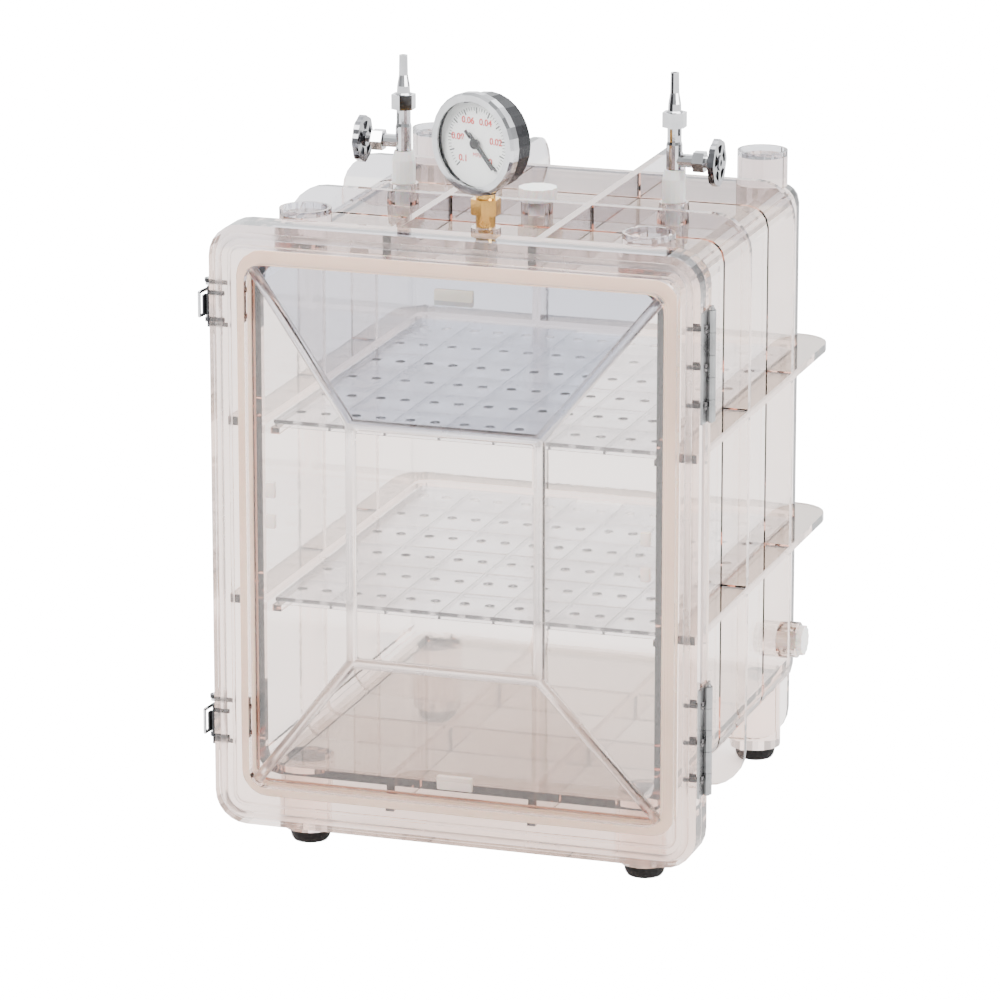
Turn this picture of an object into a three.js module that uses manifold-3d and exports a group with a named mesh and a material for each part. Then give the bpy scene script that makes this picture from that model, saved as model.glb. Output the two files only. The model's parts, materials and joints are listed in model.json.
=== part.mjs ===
// Square vacuum desiccator cabinet: a ribbed clear polycarbonate tub and a hinged front door, two
// draw latches, two loose shelves, a vacuum gauge, two screw-down valves and two port plugs.
// Millimetres, +Z up. While it is built, Y = 0 is the door's front rim and Z = 0 the door's foot.
import * as THREE from 'three';
import { mergeVertices, toCreasedNormals } from 'three/addons/utils/BufferGeometryUtils.js';
import { RoundedBoxGeometry } from 'three/addons/geometries/RoundedBoxGeometry.js';
import Module from 'manifold-3d';

const wasm = await Module();
wasm.setup();

// Driving dimensions.
const seat = 0.3;                     // gap left between pieces that touch
const door = { width: 318, height: 390, thickness: 12, corner: 21 };
const pane = { width: 272, height: 340, corner: 11, noseScale: 0.46, noseOut: 16, wall: 5.5, bead: 3 };
const flange = { front: 12.6, back: 24 };
const tub = { width: 272, height: 341, middle: 200.5, back: 320, wall: 8, corner: 14 };
const rib = { width: 5.6, height: 17, corner: 24, hoops: [132, 233], levels: [144, 260], sides: [-47, 47] };
const post = { x: 112, rows: [47, 302], radius: 16.5, bottom: -13, top: 393, recess: 14.6, recessDepth: 4 };
const foot = { radius: 13, height: 9 };
const gasket = { width: 287, height: 355, corner: 17, band: 9, depth: 5 };
const shelf = { width: 252, front: 28, back: 310, thickness: 5, ledge: 6, columns: 6, rows: 7, hole: 9 };
const hinge = { height: 70, axisX: 162.5, axisY: 12.3, barrel: 3, leaf: 1.5, pin: 1.45, knuckles: 5 };
const latch = { height: 39, leverWidth: 22, pivotX: -166, pivotY: 20, bailY: 27, barY: 5, wire: 1.1, rest: 5.5 };
const gauge = { y: 67, centre: 438.5, turn: -20, setForward: 4, restAngle: -135 };
const valve = { x: 90.5, y: 172.5, stemZ: 411, top: 432, wheelOut: 28, wheelRadius: 15.5 };
const topPort = { x: 0, y: 172.5, top: 379 };
const sidePort = { y: 276, z: 70, out: 148 };
const boss = { radius: 9.4, top: 384 };

const doorMiddle = door.height / 2;
const tubTop = tub.middle + tub.height / 2;
const tubBottom = tub.middle - tub.height / 2;
const sideX = door.width / 2;
const hingeLevels = { upper: 321, lower: 82 };
const latchLevels = { upper: 336, lower: 64 };

// Finishes.
const finish = (color, roughness, metalness, opacity = 1) =>
  new THREE.MeshStandardMaterial({ color, roughness, metalness, opacity, transparent: opacity < 1 });
const finishes = {
  clear: finish(0xe9e6e4, 0.08, 0, 0.3),
  shelf: finish(0xdfe3e6, 0.15, 0, 0.4),
  gasket: finish(0xe2cdb0, 0.6, 0),
  steel: finish(0xa9abad, 0.4, 1),
  chrome: finish(0xd6d8da, 0.12, 1),
  brass: finish(0xb98a3e, 0.3, 1),
  black: finish(0x17181a, 0.5, 0),
  rubber: finish(0x1b1b1c, 0.85, 0),
  white: finish(0xf4f3ee, 0.5, 0),
  red: finish(0xb3261e, 0.5, 0),
  nylon: finish(0xeeece4, 0.35, 0, 0.85),
};

// Solids and booleans.
function solid(geometry) {
  const bare = geometry.clone();
  bare.deleteAttribute('normal');
  bare.deleteAttribute('uv');
  const merged = mergeVertices(bare, 1e-4);
  const mesh = new wasm.Mesh({
    numProp: 3,
    vertProperties: new Float32Array(merged.attributes.position.array),
    triVerts: new Uint32Array(merged.index.array),
  });
  return new wasm.Manifold(mesh);
}

const join = (pieces) => pieces.reduce((sum, piece) => sum.add(piece));
const cut = (body, tools) => tools.reduce((rest, tool) => rest.subtract(tool), body);

function geometryOf(body) {
  const mesh = body.getMesh();
  const geometry = new THREE.BufferGeometry();
  geometry.setAttribute('position', new THREE.BufferAttribute(new Float32Array(mesh.vertProperties), 3));
  geometry.setIndex(new THREE.BufferAttribute(new Uint32Array(mesh.triVerts), 1));
  return toCreasedNormals(geometry, Math.PI / 6);
}

function node(name, body, material) {
  const mesh = new THREE.Mesh(geometryOf(body), material);
  mesh.name = name;
  return mesh;
}

// Outlines and the slabs, bars and turned pieces made from them.
function roundedRectangle(width, height, radius, centreX = 0, centreY = 0) {
  const [left, right] = [centreX - width / 2, centreX + width / 2];
  const [low, high] = [centreY - height / 2, centreY + height / 2];
  const shape = new THREE.Shape();
  shape.moveTo(left + radius, low);
  shape.lineTo(right - radius, low);
  shape.absarc(right - radius, low + radius, radius, -Math.PI / 2, 0);
  shape.absarc(right - radius, high - radius, radius, 0, Math.PI / 2);
  shape.absarc(left + radius, high - radius, radius, Math.PI / 2, Math.PI);
  shape.absarc(left + radius, low + radius, radius, Math.PI, Math.PI * 1.5);
  return shape;
}

const extrude = (shape, depth, steps) =>
  new THREE.ExtrudeGeometry(shape, { depth, bevelEnabled: false, curveSegments: steps });

// The outline's x, y become X, Z, and the slab runs from y0 to y1.
function frontSlab(shape, y0, y1, steps = 3) {
  return solid(extrude(shape, y1 - y0, steps).rotateX(Math.PI / 2).translate(0, y1, 0));
}

// The outline's x, y become Y, Z, and the slab runs from x0 to x1.
function sideSlab(shape, x0, x1, steps = 3) {
  const turn = new THREE.Matrix4().makeBasis(
    new THREE.Vector3(0, 1, 0), new THREE.Vector3(0, 0, 1), new THREE.Vector3(1, 0, 0));
  return solid(extrude(shape, x1 - x0, steps).applyMatrix4(turn).translate(x0, 0, 0));
}

function flatSlab(shape, z0, z1, steps = 3) {
  return solid(extrude(shape, z1 - z0, steps).translate(0, 0, z0));
}

function box(x0, x1, y0, y1, z0, z1) {
  const geometry = new THREE.BoxGeometry(x1 - x0, y1 - y0, z1 - z0);
  return solid(geometry.translate((x0 + x1) / 2, (y0 + y1) / 2, (z0 + z1) / 2));
}

function roundedBlock(x0, x1, y0, y1, z0, z1, radius) {
  const geometry = new RoundedBoxGeometry(x1 - x0, y1 - y0, z1 - z0, 2, radius);
  return solid(geometry.translate((x0 + x1) / 2, (y0 + y1) / 2, (z0 + z1) / 2));
}

// A round bar between two points.
function bar(from, to, radius, sides = 12, endRadius = radius) {
  const [a, b] = [new THREE.Vector3(...from), new THREE.Vector3(...to)];
  const along = b.clone().sub(a);
  const geometry = new THREE.CylinderGeometry(endRadius, radius, along.length(), sides);
  const turn = new THREE.Quaternion().setFromUnitVectors(new THREE.Vector3(0, 1, 0), along.clone().normalize());
  geometry.applyQuaternion(turn);
  return solid(geometry.translate(...a.add(b).multiplyScalar(0.5).toArray()));
}

function ball(centre, radius, sides = 12) {
  return solid(new THREE.SphereGeometry(radius, sides, sides / 2).translate(...centre));
}

// A turned piece: rows of [radius, height], closed on the axis or on itself, standing along +Z.
function turned(rows, sides = 24) {
  const points = rows.map(([radius, height]) => new THREE.Vector2(radius, height));
  return solid(new THREE.LatheGeometry(points, sides).rotateX(Math.PI / 2));
}

// A hexagonal prism standing on Z, given across its flats.
const hexagon = (acrossFlats, z0, z1) =>
  bar([0, 0, z0], [0, 0, z1], acrossFlats / Math.sqrt(3), 6);

// The moulded tub with its flange, ribs, posts, port bosses and shelf ledges.
function ribs() {
  const [outerWidth, outerHeight] = [tub.width + 2 * rib.height, tub.height + 2 * rib.height];
  const half = rib.width / 2;
  const back = tub.back + rib.height;
  const hoopShape = roundedRectangle(outerWidth, outerHeight, rib.corner, 0, tub.middle);
  const hoops = rib.hoops.map((y) => frontSlab(hoopShape, y - half, y + half));
  const start = flange.front + 2;
  const levelShape = roundedRectangle(outerWidth, back - start + rib.corner, rib.corner,
    0, (back + start - rib.corner) / 2);
  const levels = rib.levels.map((z) => flatSlab(levelShape, z - half, z + half));
  const sideShape = roundedRectangle(back - start + rib.corner, outerHeight, rib.corner,
    (back + start - rib.corner) / 2, tub.middle);
  const sides = rib.sides.map((x) => sideSlab(sideShape, x - half, x + half));
  const clipped = [...levels, ...sides].map((piece) =>
    piece.subtract(box(-200, 200, -50, flange.front + 1, -50, 450)));
  return join([...hoops, ...clipped]);
}

function cabinetBody() {
  const [halfWidth, wall] = [tub.width / 2, tub.wall];
  const shell = roundedBlock(-halfWidth, halfWidth, -30, tub.back, tubBottom, tubTop, tub.corner)
    .subtract(box(-200, 200, -50, flange.front + 1, -50, 450));
  const cavity = roundedBlock(-halfWidth + wall, halfWidth - wall, -30, tub.back - wall,
    tubBottom + wall, tubTop - wall, tub.corner - 3);
  const rim = frontSlab(roundedRectangle(door.width, door.height, door.corner, 0, doorMiddle),
    flange.front, flange.back);
  const posts = post.rows.flatMap((y) => [-post.x, post.x].map((x) =>
    bar([x, y, post.bottom], [x, y, post.top], post.radius, 20)));
  const recesses = post.rows.flatMap((y) => [-post.x, post.x].map((x) =>
    bar([x, y, post.top - post.recessDepth], [x, y, post.top + 1], post.recess, 16)));
  const portCentres = [[0, gauge.y], [-valve.x, valve.y], [valve.x, valve.y]];
  const bosses = portCentres.map(([x, y]) =>
    bar([x, y, tubTop - 4], [x, y, boss.top], boss.radius + 1.4, 18, boss.radius));
  const topBoss = bar([topPort.x, topPort.y, tubTop - 4], [topPort.x, topPort.y, topPort.top], 10.4, 18);
  const sideBoss = bar([tub.width / 2 - 4, sidePort.y, sidePort.z], [sidePort.out, sidePort.y, sidePort.z], 12, 18);
  const bores = [
    ...portCentres.map(([x, y]) => bar([x, y, tubTop - 12], [x, y, boss.top + 1], 5.3, 12)),
    bar([topPort.x, topPort.y, tubTop - 12], [topPort.x, topPort.y, topPort.top + 1], 6.3, 12),
    bar([tub.width / 2 - 12, sidePort.y, sidePort.z], [sidePort.out + 1, sidePort.y, sidePort.z], 6.3, 12),
  ];
  const groove = gasketRing(seat).subtract(box(-200, 200, -50, flange.front - 1, -50, 450));
  const ledges = rib.levels.flatMap((z) => [-1, 1].map((side) => {
    const [inner, outer] = [side * (halfWidth - wall - shelf.ledge), side * (halfWidth - wall + 1)];
    return box(Math.min(inner, outer), Math.max(inner, outer), shelf.front, tub.back - wall + 1,
      z - shelf.thickness - seat - 4, z - shelf.thickness - seat);
  }));
  const outside = join([shell, rim, ribs(), ...posts, ...bosses, topBoss, sideBoss]);
  return node('cabinet_body', join([cut(outside, [cavity, groove, ...recesses, ...bores]), ...ledges]),
    finishes.clear);
}

// The seal's ring, grown by the clearance on every side for its groove.
function gasketRing(clearance) {
  const { width, height, corner, band, depth } = gasket;
  const outer = roundedRectangle(width + 2 * clearance, height + 2 * clearance, corner, 0, doorMiddle);
  const inner = roundedRectangle(width - 2 * band - 2 * clearance, height - 2 * band - 2 * clearance,
    corner - band + 2, 0, doorMiddle);
  const [front, back] = [door.thickness + seat, door.thickness + seat + depth + clearance];
  return frontSlab(outer, front, back).subtract(frontSlab(inner, front - 1, back + 1));
}

// The door: a flat rim round a window that stands forward as a truncated pyramid.
function frustum(shiftY) {
  const geometry = new THREE.CylinderGeometry(1, pane.noseScale, 1, 4, 1, false, Math.PI / 4);
  const run = door.thickness / 2 + pane.noseOut;
  const half = Math.SQRT1_2;
  geometry.scale(pane.width / 2 / half, run, pane.height / 2 / half);
  return solid(geometry.translate(0, door.thickness / 2 - run / 2 + shiftY, doorMiddle));
}

function paneBeads() {
  const [halfWidth, halfHeight] = [pane.width / 2 - 3, pane.height / 2 - 3];
  const corners = [[-1, -1], [1, -1], [1, 1], [-1, 1]];
  const place = (scale, y) => corners.map(([x, z]) =>
    [x * halfWidth * scale, y, doorMiddle + z * halfHeight * scale]);
  const nose = place(pane.noseScale, pane.bead - pane.noseOut);
  const root = place(1.03, door.thickness / 2 + 1);
  return join(corners.flatMap((unused, i) => [
    bar(root[i], nose[i], pane.bead),
    bar(nose[i], nose[(i + 1) % 4], pane.bead),
    ball(nose[i], pane.bead),
  ]));
}

function doorPanel() {
  const windowShape = roundedRectangle(pane.width, pane.height, pane.corner, 0, doorMiddle);
  const rim = frontSlab(roundedRectangle(door.width, door.height, door.corner, 0, doorMiddle),
    0, door.thickness);
  const front = rim.subtract(frontSlab(windowShape, -1, door.thickness / 2)).add(frustum(0));
  const hollow = frustum(pane.wall).intersect(frontSlab(windowShape, -40, 40));
  const mouth = frontSlab(windowShape, door.thickness / 2 + pane.wall - 0.1, door.thickness + 1);
  return node('door', cut(front, [hollow, mouth]).add(paneBeads()), finishes.clear);
}

// Butt hinges on the right edge. Odd knuckles belong to the cabinet's leaf, even ones to the door's.
function hingeLeaf(level, own, plateFront, plateBack) {
  const bottom = level - hinge.height / 2;
  const pitch = hinge.height / hinge.knuckles;
  const at = (index, radius, trim) => bar(
    [hinge.axisX, hinge.axisY, bottom + index * pitch + trim],
    [hinge.axisX, hinge.axisY, bottom + (index + 1) * pitch - trim], radius, 12);
  const rows = [...Array(hinge.knuckles).keys()];
  const plate = box(sideX + seat, sideX + seat + hinge.leaf, plateFront, plateBack,
    bottom, bottom + hinge.height);
  const clearances = rows.filter((i) => i % 2 !== own).map((i) => at(i, hinge.barrel + 0.25, 0));
  const knuckles = rows.filter((i) => i % 2 === own).map((i) => at(i, hinge.barrel, 0.15));
  const bore = bar([hinge.axisX, hinge.axisY, bottom - 1],
    [hinge.axisX, hinge.axisY, bottom + hinge.height + 1], hinge.pin + 0.12, 12);
  return join([cut(plate, clearances), ...knuckles]).subtract(bore);
}

function hingeNodes(name, level) {
  const bottom = level - hinge.height / 2;
  const pin = join([
    bar([hinge.axisX, hinge.axisY, bottom - 0.8], [hinge.axisX, hinge.axisY, bottom + hinge.height + 0.3],
      hinge.pin, 12),
    bar([hinge.axisX, hinge.axisY, bottom + hinge.height + 0.2],
      [hinge.axisX, hinge.axisY, bottom + hinge.height + 1.4], 2.4, 12, 1.8),
  ]);
  return [
    node(`hinge_${name}_body_leaf`, hingeLeaf(level, 0, flange.front + 0.1, flange.back - 0.2), finishes.steel),
    node(`hinge_${name}_door_leaf`, hingeLeaf(level, 1, 0.6, door.thickness - 0.1), finishes.steel),
    node(`hinge_${name}_pin`, pin, finishes.steel),
  ];
}

// Draw latches on the left edge: a base on the flange, a forked lever, a wire bail and a hooked keeper.
function latchBase(z) {
  const plate = flatSlab(roundedRectangle(3, flange.back - flange.front - 0.4, 1, -sideX - seat - 1.5,
    (flange.front + flange.back) / 2), z - latch.height / 2, z + latch.height / 2, 3);
  const ears = [-1, 1].map((side) => {
    const middle = z + side * (latch.leverWidth / 2 + 1.7);
    const block = box(latch.pivotX, -sideX - seat - 1, latch.pivotY - 3.4, latch.pivotY + 3.4,
      middle - 1.2, middle + 1.2);
    const round = bar([latch.pivotX, latch.pivotY, middle - 1.2], [latch.pivotX, latch.pivotY, middle + 1.2],
      3.4, 12);
    return block.add(round);
  });
  const bore = bar([latch.pivotX, latch.pivotY, z - 15], [latch.pivotX, latch.pivotY, z + 15], 1.6, 16);
  return join([plate, ...ears]).subtract(bore);
}

function latchLever(z) {
  const half = latch.leverWidth / 2;
  const cheeks = [-1, 1].map((side) => {
    const [near, far] = [z + side * half, z + side * (half - 1.5)];
    return flatSlab(roundedRectangle(5.4, 17, 2.2, -166.1, 26.3), Math.min(near, far), Math.max(near, far), 2);
  });
  const bailBore = bar([latch.pivotX + 0.6, latch.bailY, z - 15], [latch.pivotX + 0.6, latch.bailY, z + 15],
    latch.wire + 0.1, 12);
  const stubs = [-1, 1].map((side) => bar([latch.pivotX, latch.pivotY, z + side * (half - 1)],
    [latch.pivotX, latch.pivotY, z + side * (half + 2.9)], 1.5, 10));
  const plate = sideSlab(roundedRectangle(20, latch.leverWidth, 3, 41, z), -168.8, -167.4, 3);
  const lip = bar([-168.4, 50.4, z - half + 3], [-168.4, 50.4, z + half - 3], 1.6, 8);
  return join([...cheeks.map((cheek) => cheek.subtract(bailBore)), ...stubs, plate, lip]);
}

// The bail is drawn hooked along Y, then swung out about its own pivot to just clear the keeper.
function latchBail(z) {
  const [reach, half] = [latch.bailY - latch.barY, 7.6];
  const corners = [[0, 0, half], [0, -reach, half], [0, -reach, -half], [0, 0, -half]];
  const wires = [0, 1, 2].map((i) => bar(corners[i], corners[i + 1], latch.wire, 8));
  const bends = corners.map((corner) => ball(corner, latch.wire, 8));
  const axle = [-1, 1].map((side) => bar([0, 0, side * half], [0, 0, side * (latch.leverWidth / 2 + 0.2)],
    latch.wire, 8));
  const swing = -latch.rest;
  return join([...wires, ...bends, ...axle]).rotate([0, 0, swing])
    .translate([latch.pivotX + 0.6, latch.bailY, z]);
}

function latchKeeper(z) {
  const face = -sideX - seat;
  const plate = flatSlab(roundedRectangle(1.7, 10.4, 0.7, face - 0.85, 6.2), z - 13, z + 13, 3);
  const hook = new THREE.Shape();
  hook.moveTo(face - 1, 10.2);
  hook.lineTo(face - 5.2, 10.2);
  hook.absarc(face - 5.2, 9, 1.2, Math.PI / 2, Math.PI);
  hook.lineTo(face - 6.4, 5.2);
  hook.lineTo(face - 5.2, 5.2);
  hook.lineTo(face - 4.4, 7.6);
  hook.lineTo(face - 1, 7.6);
  hook.closePath();
  return plate.add(flatSlab(hook, z - 6, z + 6, 4));
}

function latchNodes(name, z) {
  return [
    node(`latch_${name}_base`, latchBase(z), finishes.black),
    node(`latch_${name}_lever`, latchLever(z), finishes.chrome),
    node(`latch_${name}_bail`, latchBail(z), finishes.chrome),
    node(`latch_${name}_keeper`, latchKeeper(z), finishes.black),
  ];
}

// A loose shelf: a perforated plate with a finger notch at the back and a lip at the front.
function shelfPlate(top) {
  const depth = shelf.back - shelf.front;
  const middle = (shelf.back + shelf.front) / 2;
  const plate = roundedRectangle(shelf.width, depth, 8, 0, middle);
  const [pitchX, pitchY] = [(shelf.width - 16) / shelf.columns, (depth - 24) / shelf.rows];
  for (let column = 0; column < shelf.columns; column += 1) {
    for (let row = 0; row < shelf.rows; row += 1) {
      const hole = new THREE.Path();
      const x = (column - (shelf.columns - 1) / 2) * pitchX;
      const y = middle + (row - (shelf.rows - 1) / 2) * pitchY;
      hole.absarc(x, y, shelf.hole, 0, Math.PI * 2);
      plate.holes.push(hole);
    }
  }
  const slab = flatSlab(plate, top - shelf.thickness, top, 3);
  return slab.subtract(box(-16, 16, shelf.back - 7, shelf.back + 1, top - 20, top + 20));
}

// The vacuum gauge, built along +Z with its dial facing +Z, then turned to face the front.
function gaugeGroup() {
  const group = new THREE.Group();
  const cup = turned([[0, -12], [28.7, -12], [30.2, -10.5], [30.2, 7], [28.4, 7], [28.4, 3], [0, 3]], 28);
  const socket = bar([0, -28, -gauge.setForward], [0, -33, -gauge.setForward], 6.8, 14);
  const bezel = turned([[32.6, 4], [32.6, 9], [31, 10.8], [27, 10.8], [27, 9.4], [30.4, 9.4],
    [30.4, 7.3], [30.8, 7.3], [30.8, 4], [32.6, 4]], 28);
  const needleShape = new THREE.Shape();
  needleShape.moveTo(-0.5, 22);
  needleShape.lineTo(-1.3, -8);
  needleShape.lineTo(1.3, -8);
  needleShape.lineTo(0.5, 22);
  needleShape.closePath();
  const hand = flatSlab(needleShape, 5, 5.6);
  const needle = join([hand, bar([0, 0, 4.4], [0, 0, 6.6], 2.6, 16)]);
  const pieces = [
    node('gauge_case', cup.add(socket), finishes.black),
    node('gauge_bezel', bezel, finishes.chrome),
    node('gauge_dial', bar([0, 0, 3.3], [0, 0, 4.1], 28, 28), finishes.white),
    node('gauge_needle', needle.rotate([0, 0, gauge.restAngle]), finishes.black),
    node('gauge_lens', bar([0, 0, 7.3], [0, 0, 9.1], 30, 28), finishes.clear),
  ];
  const face = new THREE.Group();
  face.add(...pieces);
  face.rotation.set(Math.PI / 2, 0, 0);
  face.position.y = -gauge.setForward;
  group.add(face);
  group.position.set(0, gauge.y, gauge.centre);
  group.rotation.z = THREE.MathUtils.degToRad(gauge.turn);
  return group;
}

function gaugeStem() {
  const [foot, shoulder, head] = [tubTop - tub.wall + 1, boss.top + seat, gauge.centre - 33 - seat];
  const shank = turned([[0, foot], [4.6, foot], [5, foot + 1], [5, shoulder], [6.2, shoulder],
    [6.2, head], [0, head]], 20);
  return shank.add(hexagon(16.5, head - 13, head - 3)).translate([0, gauge.y, 0]);
}

// A screw-down valve, built on the Z axis with its handwheel towards +X.
function valveSolids() {
  const [low, seatZ, top] = [tubTop - tub.wall + 1, boss.top + seat, valve.top];
  const [neck, shoulder] = [valve.stemZ - 5.6, valve.stemZ - 6];
  const bushing = turned([[3, low], [5, low], [5, seatZ], [7.6, seatZ], [7.6, shoulder - 6], [6.2, shoulder],
    [3, shoulder], [3, low]], 16);
  const body = join([
    turned([[0, seatZ], [2.8, seatZ], [2.8, shoulder], [5.2, neck], [5.2, top - 11], [4.6, top - 9],
      [4.6, top], [0, top]], 16),
    bar([0, 0, valve.stemZ], [13, 0, valve.stemZ], 4.4, 12),
  ]).subtract(bar([8, 0, valve.stemZ], [14, 0, valve.stemZ], 2.3, 12));
  const foot = top + seat;
  const tail = [[1.5, foot], [5.4, foot], [5.4, foot + 9.8], [4.4, foot + 10.6], [4.2, foot + 15],
    [3, foot + 22], [2.8, foot + 35], [1.5, foot + 35], [1.5, foot]];
  const nipple = turned(tail, 12).add(
    cut(hexagon(14, foot, foot + 9.6), [bar([0, 0, foot - 1], [0, 0, foot + 10], 2, 12)]));
  const bonnet = hexagon(12.5, 13.3, 20.5).add(bar([0, 0, 20.4], [0, 0, 22.4], 4, 16))
    .subtract(bar([0, 0, 12], [0, 0, 23], 2.2, 12));
  const stem = bar([0, 0, 9], [0, 0, valve.wheelOut + 2.2], 2, 12);
  const lay = (piece) => piece.rotate([0, 90, 0]).translate([0, 0, valve.stemZ]);
  return { bushing, body, hose_nipple: nipple, bonnet: lay(bonnet), stem: lay(stem), handwheel: lay(handwheel()) };
}

// A dished handwheel with a scalloped rim and five spokes' worth of openings.
function handwheel() {
  const rim = new THREE.Shape();
  const lobes = 8;
  const steps = lobes * 4;
  for (let i = 0; i < steps; i += 1) {
    const angle = (i / steps) * Math.PI * 2;
    const radius = valve.wheelRadius - 0.55 + 0.55 * Math.cos(angle * lobes);
    rim[i ? 'lineTo' : 'moveTo'](radius * Math.cos(angle), radius * Math.sin(angle));
  }
  rim.closePath();
  const spokes = 5;
  for (let i = 0; i < spokes; i += 1) {
    const [start, end] = [i / spokes + 0.035, (i + 1) / spokes - 0.035].map((part) => part * Math.PI * 2);
    const opening = new THREE.Path();
    opening.absarc(0, 0, 11.4, start, end, false);
    opening.absarc(0, 0, 6.2, end - 0.12, start + 0.12, true);
    opening.closePath();
    rim.holes.push(opening);
  }
  const disc = flatSlab(rim, valve.wheelOut - 2, valve.wheelOut + 2, 3);
  const hub = bar([0, 0, valve.wheelOut - 3.4], [0, 0, valve.wheelOut + 2.8], 5, 12);
  return disc.add(hub).subtract(bar([0, 0, valve.wheelOut - 5], [0, 0, valve.wheelOut + 5], 2.2, 12));
}

function valveNodes(name, side) {
  const looks = { bushing: finishes.nylon, body: finishes.chrome, hose_nipple: finishes.chrome,
    bonnet: finishes.chrome, stem: finishes.chrome, handwheel: finishes.chrome };
  const turn = side > 0 ? 0 : 180;
  return Object.entries(valveSolids()).map(([piece, body]) =>
    node(`valve_${name}_${piece}`, body.rotate([0, 0, turn]).translate([side * valve.x, valve.y, 0]), looks[piece]));
}

// Port plugs: a grooved cap on a spigot with a chamfered end.
function plug(capRadius, capHeight) {
  const grip = new THREE.Shape();
  const steps = 48;
  for (let i = 0; i < steps; i += 1) {
    const angle = (i / steps) * Math.PI * 2;
    const radius = i % 4 < 2 ? capRadius : capRadius - 0.8;
    grip[i ? 'lineTo' : 'moveTo'](radius * Math.cos(angle), radius * Math.sin(angle));
  }
  grip.closePath();
  const spigot = turned([[0, -15], [5, -15], [6, -14], [6, 0.5], [0, 0.5]], 20);
  return flatSlab(grip, 0, capHeight).add(spigot);
}

function footPad() {
  const { radius, height } = foot;
  const rows = [[0, -height], [radius - 4.5, -height], [radius - 2, -height + 0.9], [radius - 0.6, -height + 3],
    [radius, -height + 5.5], [radius, 0], [0, 0]];
  return turned(rows, 20);
}

const cabinet = new THREE.Group();
cabinet.add(cabinetBody(), doorPanel(), node('door_gasket', gasketRing(0), finishes.gasket));
Object.entries(hingeLevels).forEach(([name, level]) => cabinet.add(...hingeNodes(name, level)));
Object.entries(latchLevels).forEach(([name, level]) => cabinet.add(...latchNodes(name, level)));
rib.levels.forEach((top, i) => cabinet.add(node(`shelf_${i ? 'upper' : 'lower'}`, shelfPlate(top), finishes.shelf)));
cabinet.add(gaugeGroup(), node('gauge_stem', gaugeStem(), finishes.brass));
cabinet.add(...valveNodes('left', -1), ...valveNodes('right', 1));
cabinet.add(node('top_port_plug', plug(12.5, 8).translate([topPort.x, topPort.y, topPort.top + seat]), finishes.nylon));
cabinet.add(node('side_port_plug', plug(10, 4).rotate([0, 90, 0])
  .translate([sidePort.out + seat, sidePort.y, sidePort.z]), finishes.nylon));
post.rows.forEach((y, row) => [-1, 1].forEach((side) => {
  const name = `foot_${row ? 'rear' : 'front'}_${side < 0 ? 'left' : 'right'}`;
  cabinet.add(node(name, footPad().translate([side * post.x, y, post.bottom - seat]), finishes.rubber));
}));

// The origin is the middle of the footprint, on the surface that the feet rest on.
const bounds = new THREE.Box3().setFromObject(cabinet);
const middle = bounds.getCenter(new THREE.Vector3());
cabinet.position.set(-middle.x, -middle.y, -bounds.min.z);

export default cabinet;
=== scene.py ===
import json
import math

import bmesh
import bpy
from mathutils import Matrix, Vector


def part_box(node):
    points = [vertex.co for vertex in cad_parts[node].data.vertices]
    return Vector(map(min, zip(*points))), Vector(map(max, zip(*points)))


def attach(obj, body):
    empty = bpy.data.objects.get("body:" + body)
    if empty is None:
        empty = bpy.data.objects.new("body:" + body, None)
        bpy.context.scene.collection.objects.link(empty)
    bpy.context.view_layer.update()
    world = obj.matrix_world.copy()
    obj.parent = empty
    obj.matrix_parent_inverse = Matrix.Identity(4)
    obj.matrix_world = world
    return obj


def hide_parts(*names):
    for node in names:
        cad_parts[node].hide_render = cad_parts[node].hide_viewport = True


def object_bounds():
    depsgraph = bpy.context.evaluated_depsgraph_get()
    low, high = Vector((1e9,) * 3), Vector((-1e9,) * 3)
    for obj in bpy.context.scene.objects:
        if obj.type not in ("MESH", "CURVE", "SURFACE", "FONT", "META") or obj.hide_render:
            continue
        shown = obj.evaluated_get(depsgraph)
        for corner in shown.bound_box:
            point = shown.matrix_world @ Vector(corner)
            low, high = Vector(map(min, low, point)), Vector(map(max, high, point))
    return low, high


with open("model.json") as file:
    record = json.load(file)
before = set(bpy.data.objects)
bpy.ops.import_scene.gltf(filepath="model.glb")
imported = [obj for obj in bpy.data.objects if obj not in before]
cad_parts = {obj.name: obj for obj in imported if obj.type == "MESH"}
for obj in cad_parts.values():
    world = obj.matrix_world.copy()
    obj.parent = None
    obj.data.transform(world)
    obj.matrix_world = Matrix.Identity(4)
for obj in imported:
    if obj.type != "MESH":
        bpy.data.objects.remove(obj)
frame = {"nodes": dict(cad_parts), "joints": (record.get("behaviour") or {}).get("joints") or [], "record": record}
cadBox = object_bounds()
cadNodes = frame["nodes"]
joints = {joint["name"]: joint for joint in frame["joints"]}
print("frame loaded:", len(cadNodes), "nodes")


def deselectAll():
    if bpy.context.object and bpy.context.object.mode != "OBJECT":
        bpy.ops.object.mode_set(mode="OBJECT")
    bpy.ops.object.select_all(action="DESELECT")


# adds one shader node; an input given as a socket is linked, anything else is set on the socket
def put(tree, kind, inputs=None, **settings):
    made = tree.nodes.new("ShaderNode" + kind)
    for name, value in settings.items():
        setattr(made, name, value)
    for name, value in (inputs or {}).items():
        if isinstance(value, bpy.types.NodeSocket):
            tree.links.new(value, made.inputs[name])
        else:
            made.inputs[name].default_value = value
    return made


def newGroup(name, inputs, outputs):
    group = bpy.data.node_groups.new(name, "ShaderNodeTree")
    for label, kind, value in inputs:
        socket = group.interface.new_socket(name=label, in_out="INPUT", socket_type="NodeSocket" + kind)
        socket.default_value = value
    for label, kind in outputs:
        group.interface.new_socket(name=label, in_out="OUTPUT", socket_type="NodeSocket" + kind)
    return group, group.nodes.new("NodeGroupInput"), group.nodes.new("NodeGroupOutput")


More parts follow.
